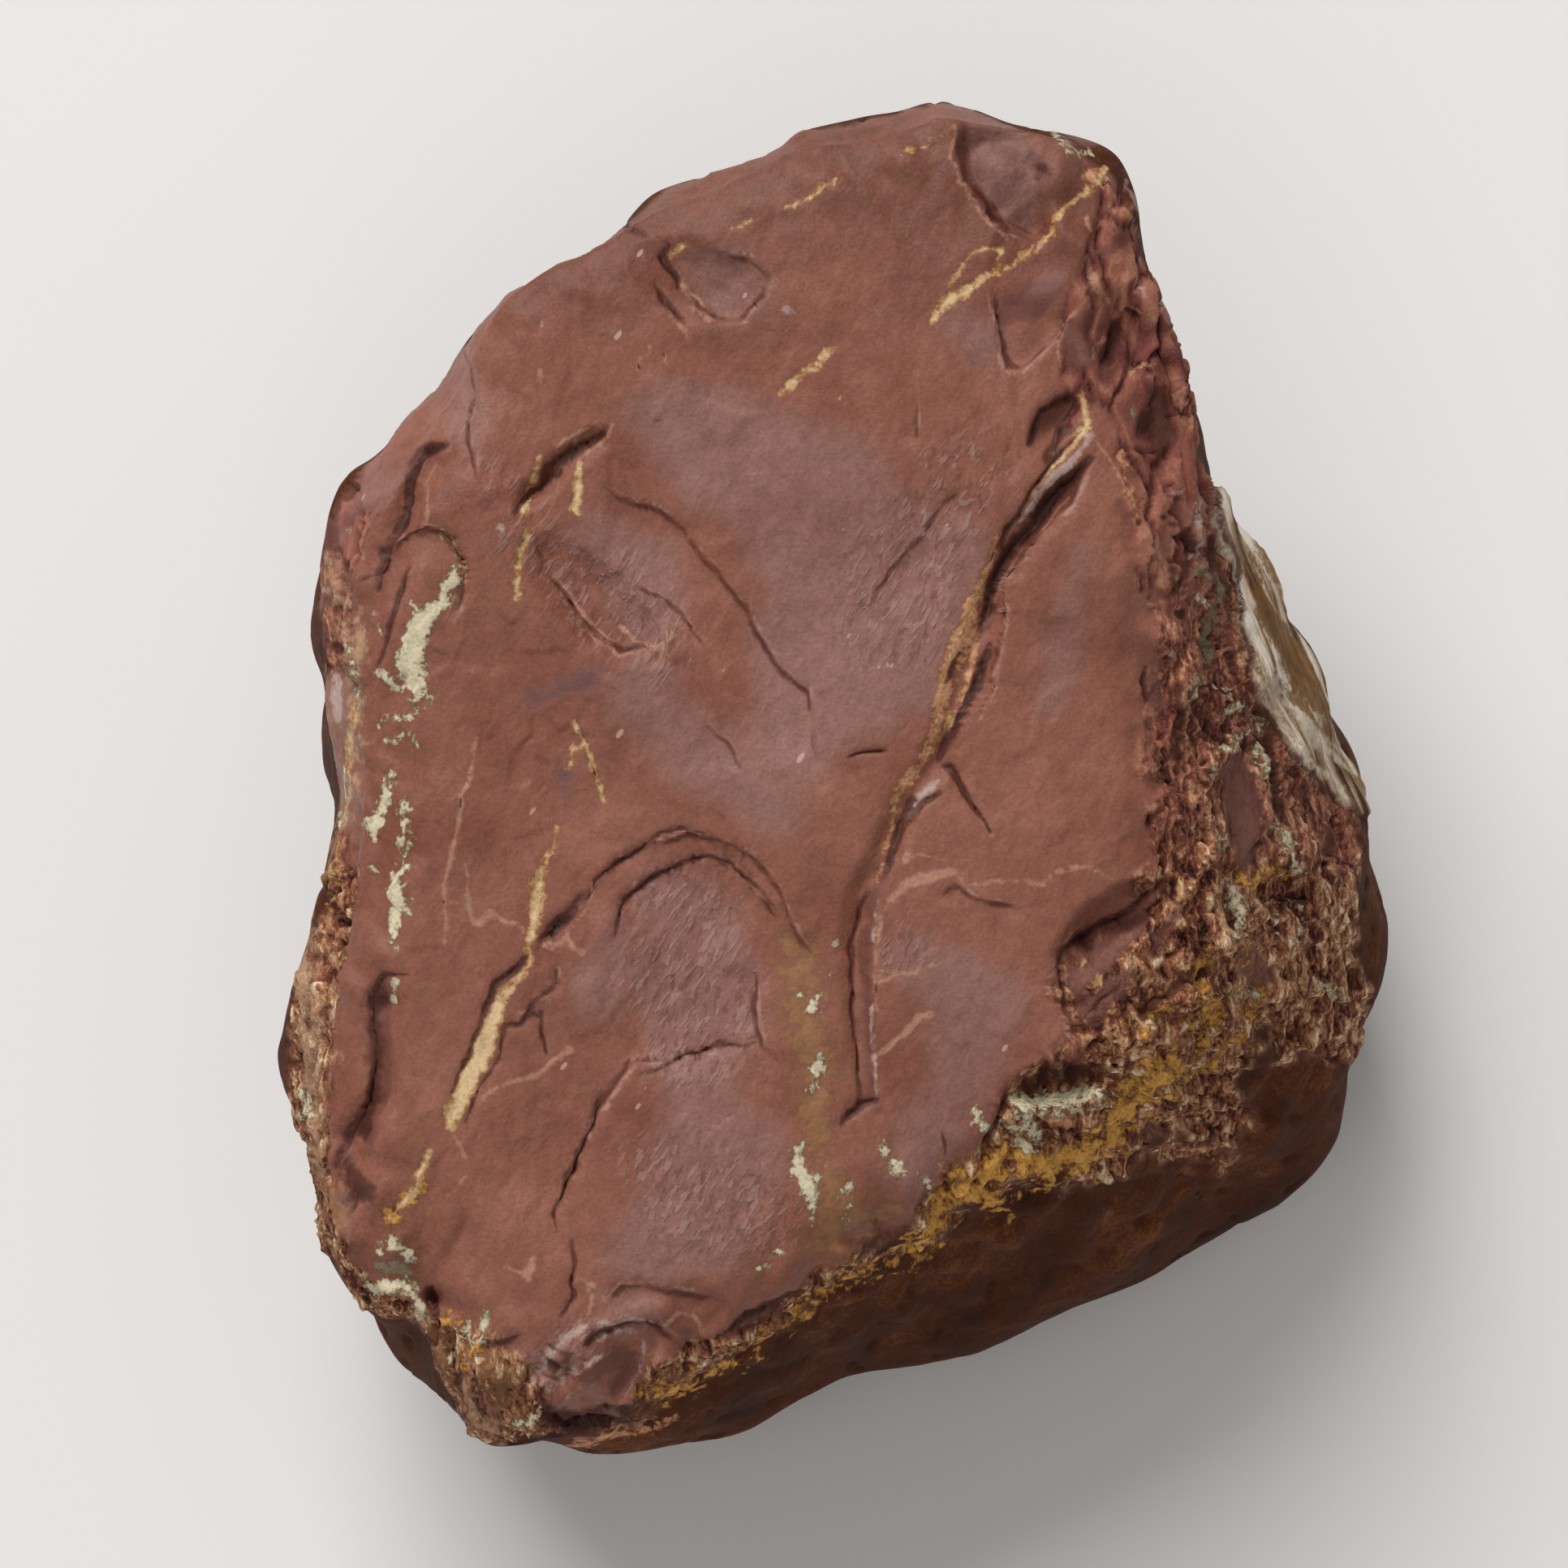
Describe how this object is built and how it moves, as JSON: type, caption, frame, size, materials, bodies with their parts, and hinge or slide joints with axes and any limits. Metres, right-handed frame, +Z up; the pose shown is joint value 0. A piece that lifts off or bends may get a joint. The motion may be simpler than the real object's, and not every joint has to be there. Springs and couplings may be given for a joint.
{
  "type": "rough jasper",
  "caption": "Hand-sized cobble of rough red-brown jasper, split open along one broad cracked face and lying on a small flat spot.",
  "frame": {"origin": "middle of the stone's outline seen from above, on the surface that it rests on", "axes": "+Z up; the broken face looks up and tips 15 degrees towards -Y; +Y towards the narrow upper end of the face"},
  "size_m": [0.06, 0.0676, 0.046],
  "materials": {
    "jasper": "dense red-brown stone with a dull waxy broken face, cream and yellow-brown veins, fibrous dark red crust at its edges and a smooth waterworn brown skin on its sides and back"
  },
  "bodies": {
    "root": {"jasper": "jasper"}
  },
  "joints": []
}
